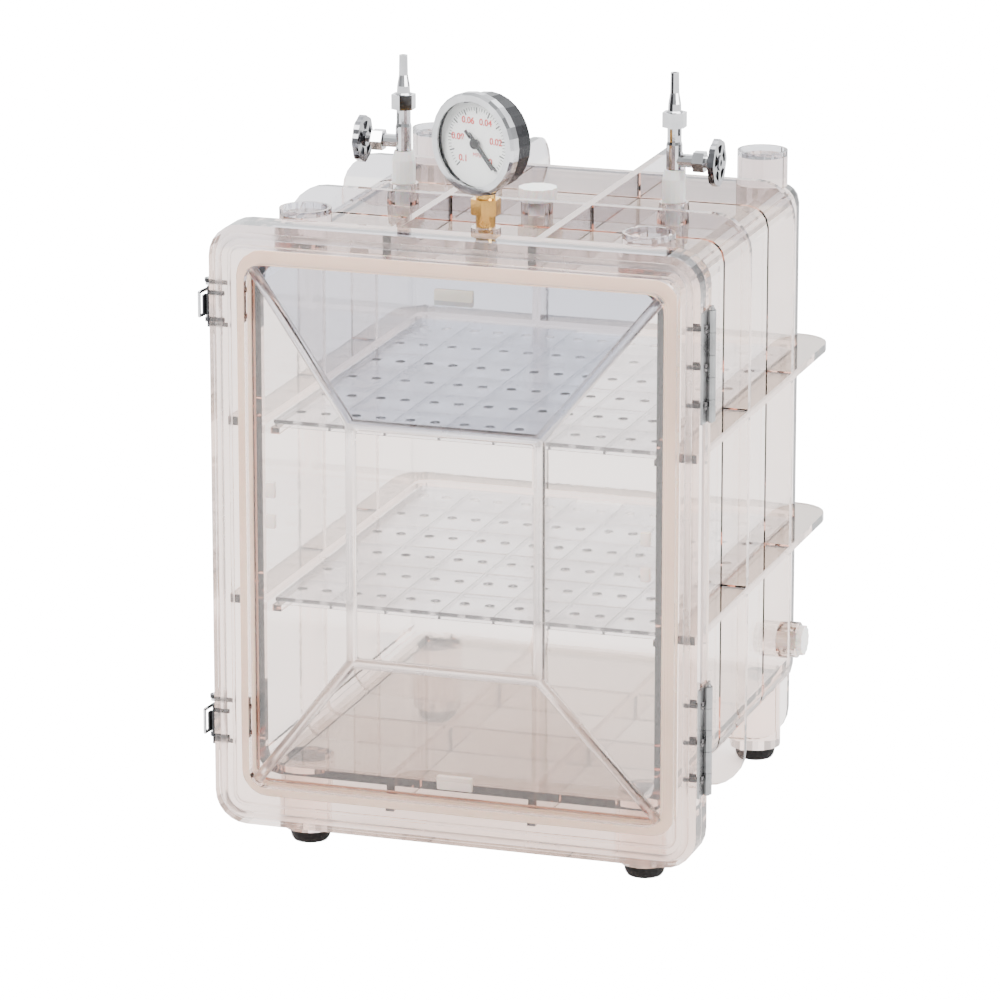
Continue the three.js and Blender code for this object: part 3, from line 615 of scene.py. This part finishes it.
# a thin frame standing in an XZ plane, its front face at low.y
def buildRing(name, low, high, band, thickness, corner, segments):
    deselectAll()
    bpy.ops.mesh.primitive_plane_add(size=1, location=(0, 0, 0))
    ring = bpy.context.object
    ring.name = name
    bpy.ops.object.mode_set(mode="EDIT")
    bpy.ops.mesh.select_all(action="SELECT")
    bpy.ops.transform.resize(value=(high.x - low.x, high.z - low.z, 1))
    bpy.ops.mesh.bevel(offset=corner, segments=segments, affect="VERTICES")
    bpy.ops.mesh.select_all(action="SELECT")
    bpy.ops.mesh.inset(thickness=band)
    bpy.ops.mesh.delete(type="FACE")
    bpy.ops.mesh.select_all(action="SELECT")
    bpy.ops.mesh.extrude_region_move(TRANSFORM_OT_translate={"value": (0, 0, thickness)})
    bpy.ops.mesh.select_all(action="SELECT")
    bpy.ops.mesh.normals_make_consistent(inside=False)
    bpy.ops.object.mode_set(mode="OBJECT")
    for vertex in ring.data.vertices:
        x, z, y = vertex.co
        vertex.co = ((low.x + high.x) / 2 + x, low.y + y, (low.z + high.z) / 2 + z)
    ring.data.flip_normals()
    return applyBevel(ring, band * 0.3, 2, 50)


def buildSealLine():
    low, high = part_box("door_gasket")
    band = sealRing["gasketBand"] + sealRing["band"]
    step = Vector((band - sealRing["inset"], -sealRing["depth"], band - sealRing["inset"]))
    ring = buildRing("windowSealLine", low + step, high - step, sealRing["band"], sealRing["thickness"],
                     sealRing["corner"], sealRing["segments"])
    finishPiece(ring, "sealLine", "cabinet")


buildSealLine()
print("seal line laid")


# the bands along the window's pyramid, and the steps round the door's rim: inset, band and how far proud
moulding = {"beadRadius": 0.0036, "noseScale": 0.46, "windowWidth": 0.272, "windowHeight": 0.340,
            "windowMargin": 0.003, "rootDepth": 0.0065, "voxel": 0.0009, "doorThickness": 0.012,
            "doorCorner": 0.021, "sunk": 0.0002,
            "steps": ((0.0045, 0.0045, 0.0016), (0.0125, 0.0024, 0.0011))}


# rods and balls fused by a remesh, so that the bands flow into each other as moulded ones do
def buildNoseBeads():
    low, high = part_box("door")
    centre = (low + high) / 2
    front, face = low.y, high.y - moulding["doorThickness"]
    half = (moulding["windowWidth"] / 2 - moulding["windowMargin"],
            moulding["windowHeight"] / 2 - moulding["windowMargin"])
    corners = ((-1, -1), (1, -1), (1, 1), (-1, 1))
    nose = [Vector((centre.x + x * half[0] * moulding["noseScale"], front + moulding["beadRadius"],
                    centre.z + z * half[1] * moulding["noseScale"])) for x, z in corners]
    root = [Vector((centre.x + x * half[0], face + moulding["rootDepth"], centre.z + z * half[1]))
            for x, z in corners]
    rods = []
    for index in range(4):
        for start, end in ((root[index], nose[index]), (nose[index], nose[(index + 1) % 4])):
            run = end - start
            rods.append(startRod("band", start, run, moulding["beadRadius"], run.length, 16))
        deselectAll()
        bpy.ops.mesh.primitive_uv_sphere_add(segments=16, ring_count=10, radius=moulding["beadRadius"],
                                             location=nose[index])
        bpy.ops.object.transform_apply(location=True, rotation=True, scale=True)
        rods.append(bpy.context.object)
    beads = joinPieces(rods, "doorNoseBeads")
    melt = beads.modifiers.new("melt", "REMESH")
    melt.mode, melt.voxel_size = "VOXEL", moulding["voxel"]
    bpy.ops.object.modifier_apply(modifier=melt.name)
    relax = beads.modifiers.new("relax", "SMOOTH")
    relax.factor, relax.iterations = 0.5, 8
    bpy.ops.object.modifier_apply(modifier=relax.name)
    finishPiece(beads, "beadResin", "door", 60)


def buildRimSteps():
    low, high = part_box("door")
    face = high.y - moulding["doorThickness"]
    for index, (inset, band, proud) in enumerate(moulding["steps"]):
        start = Vector((low.x + inset, face - proud, low.z + inset))
        end = Vector((high.x - inset, face - proud, high.z - inset))
        ring = buildRing(f"doorRimStep{index + 1}", start, end, band, proud + moulding["sunk"],
                         moulding["doorCorner"] - inset, 10)
        finishPiece(ring, "beadResin", "door", 40)


# catches in the window: name, place across and up from the door's middle, half width, half height, finish
lug = {"bevel": 0.0006, "behind": 0.0022, "halfDepth": 0.002, "lip": 0.0014, "lipShare": 0.35,
       "places": (("Top", -0.001, 0.1565, 0.0125, 0.0050, "creamLug"),
                  ("Bottom", -0.001, -0.1560, 0.0115, 0.0045, "milkNylon"),
                  ("LeftHigh", -0.1215, 0.0245, 0.0030, 0.0052, "milkNylon"),
                  ("LeftLow", -0.1215, 0.0040, 0.0030, 0.0044, "milkNylon"),
                  ("RightHigh", 0.1225, 0.0140, 0.0030, 0.0044, "milkNylon"),
                  ("RightLow", 0.1225, -0.0090, 0.0030, 0.0044, "milkNylon"))}


# small moulded catches inside the window, each a block with a stepped lip
def buildLugs():
    low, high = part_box("door")
    centre = (low + high) / 2
    for label, across, upwards, halfWidth, halfHeight, finish in lug["places"]:
        middle = Vector((centre.x + across, high.y - lug["behind"], centre.z + upwards))
        half = Vector((halfWidth, lug["halfDepth"], halfHeight))
        block = startBlock(f"windowLug{label}", middle - half, middle + half)
        bpy.ops.object.mode_set(mode="EDIT")
        selectFaces(block, lambda normal, place: normal.y < -0.9)
        bpy.ops.mesh.inset(thickness=halfHeight * lug["lipShare"])
        bpy.ops.mesh.extrude_region_move(TRANSFORM_OT_translate={"value": (0, lug["lip"], 0)})
        bpy.ops.object.mode_set(mode="OBJECT")
        applyBevel(block, lug["bevel"], 2, 50)
        finishPiece(block, finish, "door")


buildNoseBeads()
buildRimSteps()
buildLugs()
print("door mouldings added")


def buildLatchScrews():
    for level in ("upper", "lower"):
        for part, body in (("base", "cabinet"), ("keeper", "door")):
            low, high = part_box(f"latch_{level}_{part}")
            middle, spread = (low + high) / 2, screw["latchSpread"][part]
            seat = (high.x - screw["plate"], middle.y, middle.z - spread)
            first = buildScrew(f"latch{level.title()}{part.title()}Screw", seat, (-1, 0, 0))
            pair = joinPieces([first, copyPiece(first, "second", (0, 0, 2 * spread))],
                              f"latch{level.title()}{part.title()}Screws")
            finishPiece(pair, "screwSteel", body)


paintedShadowRing = {"width": 0.0022, "height": 0.0016, "sides": 64, "lift": 0.00005, "bevel": 0.0003}


# meant as a black ring between the dial's edge and the bright bezel, a painted shadow for the shade the bezel
# casts on the dial; it comes out as an open fragment
def buildDialShadowRing():
    swing = joints["gauge_needle_swing"]
    centre, out = Vector(swing["pos_m"]), Vector(swing["axis"]).normalized()
    face = reach("gauge_dial", centre, out)[1]
    radius = reach("gauge_dial", centre, Vector((0, 0, 1)))[1]
    ring = startRod("dialPaintedShadowRing", centre + out * (face + paintedShadowRing["lift"]), out, radius, paintedShadowRing["height"],
                    paintedShadowRing["sides"])
    bpy.ops.object.mode_set(mode="EDIT")
    selectFaces(ring, lambda normal, place: abs(normal.dot(out)) > 0.9)
    bpy.ops.mesh.inset(thickness=paintedShadowRing["width"])
    bpy.ops.mesh.bridge_edge_loops()
    bpy.ops.object.mode_set(mode="OBJECT")
    applyBevel(ring, paintedShadowRing["bevel"], 1, 50)
    finishPiece(ring, "blackEnamel", "cabinet")


pointer = {"hubRadius": 0.0034, "hubHeight": 0.0007, "bladeRadius": 0.0007, "tailRadius": 0.0010,
           "tailLength": 0.0105, "tailStart": 0.0045, "tipShare": 0.93, "lift": 0.0002, "bevel": 0.0002}


# a bolder hub, blade and paddle tail laid over the thin needle, turning with it; the front of it reaches
# half a millimetre into the lens
def buildPointer():
    swing = joints["gauge_needle_swing"]
    centre, out = Vector(swing["pos_m"]), Vector(swing["axis"]).normalized()
    needle = cadNodes["gauge_needle"]
    places = [needle.matrix_world @ vertex.co - centre for vertex in needle.data.vertices]
    spans = [place - out * place.dot(out) for place in places]
    tip = max(spans, key=lambda span: span.length)
    way, level = tip.normalized(), centre + out * (reach("gauge_needle", centre, out)[1] + pointer["lift"])
    hub = startRod("hub", level, out, pointer["hubRadius"], pointer["hubHeight"], 32)
    blade = startRod("blade", level, way, pointer["bladeRadius"], tip.length * pointer["tipShare"], 12)
    tail = startRod("tail", level - way * pointer["tailStart"], -way, pointer["tailRadius"],
                    pointer["tailLength"] - pointer["tailStart"], 12)
    whole = joinPieces([hub, blade, tail], "gaugePointer")
    applyBevel(whole, pointer["bevel"], 1, 50)
    finishPiece(whole, "pointerBlack", "gauge_needle")


buildLatchScrews()
buildDialShadowRing()
buildPointer()
print("latch screws, dial ring and pointer set")


# floor, light and camera
studio = {"floorSize": 30.0, "floorDrop": 0.0002, "floorTone": 0.8, "floorGlow": 0.95, "floorSeen": 15.0,
          "skyBack": 2.7, "skyFront": 0.8, "skySeen": 18.0, "sideShade": 0.5, "topGain": 1.3,
          "stripGap": 13.0, "stripDepth": 0.45, "keyPower": 60.0, "fillPower": 22.0, "topPower": 45.0}


def buildStudio():
    deselectAll()
    level = cadBox[0][2] - studio["floorDrop"]
    bpy.ops.mesh.primitive_plane_add(size=studio["floorSize"], location=(0, 0, level))
    floor = bpy.context.object
    floor.name = "studioFloor"
    material, tree, output = startMaterial("floorPaper")
    shader = put(tree, "BsdfPrincipled", {"Base Color": (*[studio["floorTone"]] * 3, 1), "Roughness": 0.7})
    path = put(tree, "LightPath")
    strength = put(tree, "Math", {0: path.outputs["Is Camera Ray"], 1: studio["floorSeen"],
                                  2: studio["floorGlow"]}, operation="MULTIPLY_ADD")
    glow = put(tree, "Emission", {"Strength": strength.outputs[0]})
    both = put(tree, "AddShader", {0: shader.outputs[0], 1: glow.outputs[0]})
    tree.links.new(both.outputs[0], output.inputs["Surface"])
    floor.data.materials.append(material)

    world = bpy.data.worlds.new("studioSky")
    bpy.context.scene.world = world
    world.use_nodes = True
    tree = world.node_tree
    tree.nodes.clear()
    way = put(tree, "SeparateXYZ", {0: put(tree, "TexCoord").outputs["Generated"]})
    back = ramp(tree, way.outputs["Y"], -0.35, 0.45, studio["skyFront"], studio["skyBack"])
    across = put(tree, "Math", {0: way.outputs["X"]}, operation="ABSOLUTE")
    sides = ramp(tree, across.outputs[0], 0.55, 0.9, 1.0, studio["sideShade"])
    rising = ramp(tree, way.outputs["Z"], 0.3, 0.8, 1.0, studio["topGain"])
    turn = put(tree, "Math", {0: way.outputs["X"], 1: studio["stripGap"]}, operation="MULTIPLY")
    swing = put(tree, "Math", {0: turn.outputs[0]}, operation="SINE")
    strips = put(tree, "Math", {0: swing.outputs[0], 1: studio["stripDepth"], 2: 1.0},
                 operation="MULTIPLY_ADD")
    broad = put(tree, "Math", {0: back, 1: strips.outputs[0]}, operation="MULTIPLY")
    shaded = put(tree, "Math", {0: broad.outputs[0], 1: sides}, operation="MULTIPLY")
    glow = put(tree, "Math", {0: shaded.outputs[0], 1: rising}, operation="MULTIPLY").outputs[0]
    path = put(tree, "LightPath")
    strength = put(tree, "Mix", {0: path.outputs["Is Camera Ray"], 2: glow, 3: studio["skySeen"]})
    sky = put(tree, "Background", {"Color": (0.96, 0.98, 1.0, 1), "Strength": strength.outputs[0]})
    tree.links.new(sky.outputs[0], put(tree, "OutputWorld").inputs["Surface"])

    middle = (Vector(cadBox[0]) + Vector(cadBox[1])) / 2
    for name, place, power, size in (("keySoftbox", (-1.3, -1.5, 1.9), studio["keyPower"], 0.9),
                                     ("fillSoftbox", (1.9, -0.8, 0.9), studio["fillPower"], 0.7),
                                     ("topSoftbox", (0.1, 0.3, 2.3), studio["topPower"], 1.3)):
        aim = (middle - Vector(place)).to_track_quat("-Z", "Y").to_euler()
        bpy.ops.object.light_add(type="AREA", location=place, rotation=aim)
        lamp = bpy.context.object
        lamp.name = name
        lamp.data.energy, lamp.data.size = power, size


viewpoint = {"place": (1.1510, -3.5489, 1.2344), "target": (-0.00465, -0.0444, 0.2166), "lens": 216.0,
             "sensor": 36.0}


def addCamera():
    place, target = Vector(viewpoint["place"]), Vector(viewpoint["target"])
    bpy.ops.object.camera_add(location=place, rotation=(target - place).to_track_quat("-Z", "Y").to_euler())
    camera = bpy.context.object
    camera.data.sensor_width, camera.data.lens = viewpoint["sensor"], viewpoint["lens"]
    camera.data.clip_end = 100
    bpy.context.scene.camera = camera


buildStudio()
addCamera()
print("studio and camera ready")
